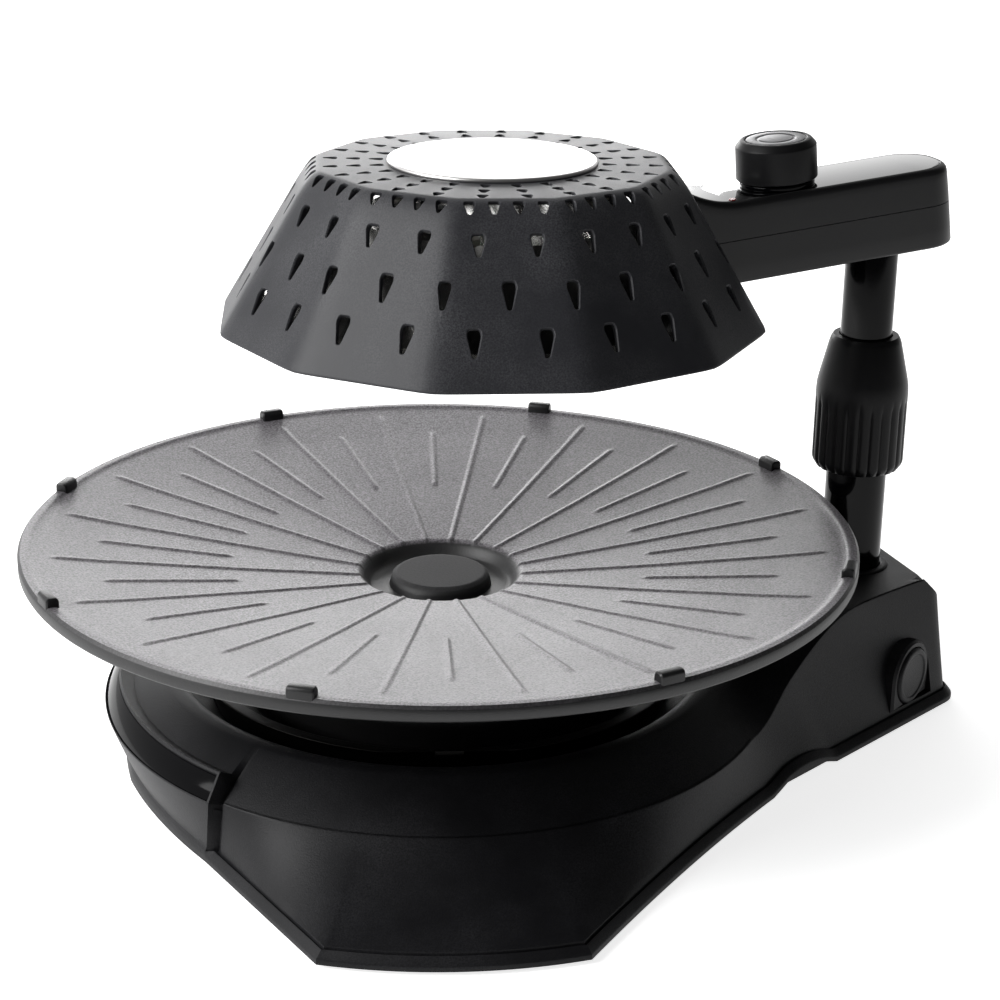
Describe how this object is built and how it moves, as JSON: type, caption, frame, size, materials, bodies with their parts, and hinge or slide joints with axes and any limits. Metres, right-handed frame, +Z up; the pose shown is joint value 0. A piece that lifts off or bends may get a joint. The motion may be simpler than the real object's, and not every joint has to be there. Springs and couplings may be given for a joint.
{
  "type": "infrared table grill",
  "caption": "Table grill with a round dished plate on a low flared base and a perforated heater hood hung above it from a telescopic column and a sloping arm.",
  "frame": {"origin": "on the table, under the middle of the whole grill", "axes": "+X from the front grip towards the column, +Y to the left of it, +Z up"},
  "size_m": [0.448, 0.41, 0.2811],
  "materials": {
    "base_moulding": "fine moulded grain, matt black",
    "gloss_trim": "gloss black",
    "head_moulding": "satin black",
    "knob_moulding": "satin black",
    "collar_moulding": "gloss black",
    "tube_paint": "gloss black",
    "hood_paint": "satin black",
    "plate_coating": "gritty dark non-stick coating",
    "tray_steel": "satin",
    "disc_steel": "circular brushed",
    "knob_metal": "dark satin",
    "screw_steel": "zinc plated",
    "guard_wire": "bright wire",
    "reflector_sheet": "polished",
    "lamp_quartz": "frosted quartz",
    "ceramic_white": "unglazed",
    "foot_rubber": "matt black",
    "bearing_plastic": "natural bearing plastic",
    "electric_dark": "moulded",
    "electric_white": "moulded",
    "lead_cover": "matt",
    "lead_sleeve": "woven heat-proof sleeve",
    "lens_red": "clear red"
  },
  "bodies": {
    "base": {"base_shell": "base_moulding", "base_pan": "base_moulding", "base_screws": "screw_steel", "rubber_feet": "foot_rubber", "grip_inlay": "gloss_trim", "column_socket": "base_moulding", "socket_screws": "screw_steel", "button_bezel": "base_moulding", "button_spring": "screw_steel", "power_inlet": "electric_dark", "terminal_block": "electric_white", "base_lead": "lead_cover", "lower_tube": "tube_paint", "collet": "bearing_plastic"},
    "tray": {"drip_tray": "tray_steel"},
    "plate": {"grill_plate": "plate_coating"},
    "button": {"release_button": "base_moulding"},
    "collar": {"lock_collar": "collar_moulding"},
    "mast": {"upper_tube": "tube_paint", "guide_bush": "bearing_plastic", "column_lead": "lead_cover", "pivot_plug": "screw_steel", "pivot_screw": "screw_steel"},
    "head": {"pivot_sleeve": "bearing_plastic", "arm_shell": "head_moulding", "arm_cover": "head_moulding", "arm_panel": "gloss_trim", "arm_screws": "screw_steel", "control_body": "electric_dark", "knob_ring": "gloss_trim", "indicator_lens": "lens_red", "hood_shell": "hood_paint", "top_disc": "disc_steel", "disc_nut": "screw_steel", "reflector": "reflector_sheet", "heat_lamp": "lamp_quartz", "lamp_holders": "ceramic_white", "lamp_lead": "lead_sleeve", "hood_bracket": "screw_steel", "hood_screws": "screw_steel", "guard_grille": "guard_wire", "thermal_cutout": "electric_dark"},
    "control": {"knob": "knob_moulding", "knob_disc": "knob_metal", "knob_shaft": "screw_steel"}
  },
  "joints": [
    {"name": "tray_lift", "type": "slide", "parent": "base", "child": "tray", "axis": [0, 0, 1], "range_m": [0, 0.02]},
    {"name": "plate_lift", "type": "slide", "parent": "tray", "child": "plate", "axis": [0, 0, 1], "range_m": [0, 0.03]},
    {"name": "collar_twist", "type": "hinge", "parent": "base", "child": "collar", "pos_m": [0.179, 0, 0.15], "axis": [0, 0, 1], "range_deg": [0, 90]},
    {"name": "head_height", "type": "slide", "parent": "base", "child": "mast", "axis": [0, 0, 1], "range_m": [-0.038, 0.04]},
    {"name": "head_swing", "type": "hinge", "parent": "mast", "child": "head", "pos_m": [0.179, 0, 0.24], "axis": [0, 0, 1], "range_deg": [-90, 90]},
    {"name": "knob_turn", "type": "hinge", "parent": "head", "child": "control", "pos_m": [0.13072, 0, 0.22135], "axis": [-0.0958, 0, 0.9954], "range_deg": [0, 270]},
    {"name": "button_push", "type": "slide", "parent": "base", "child": "button", "axis": [-0.5446, 0.8387, 0], "range_m": [0, 0.003], "stiffness_N_per_m": 600, "springref_m": -0.002, "deforming": ["button_spring"]}
  ]
}
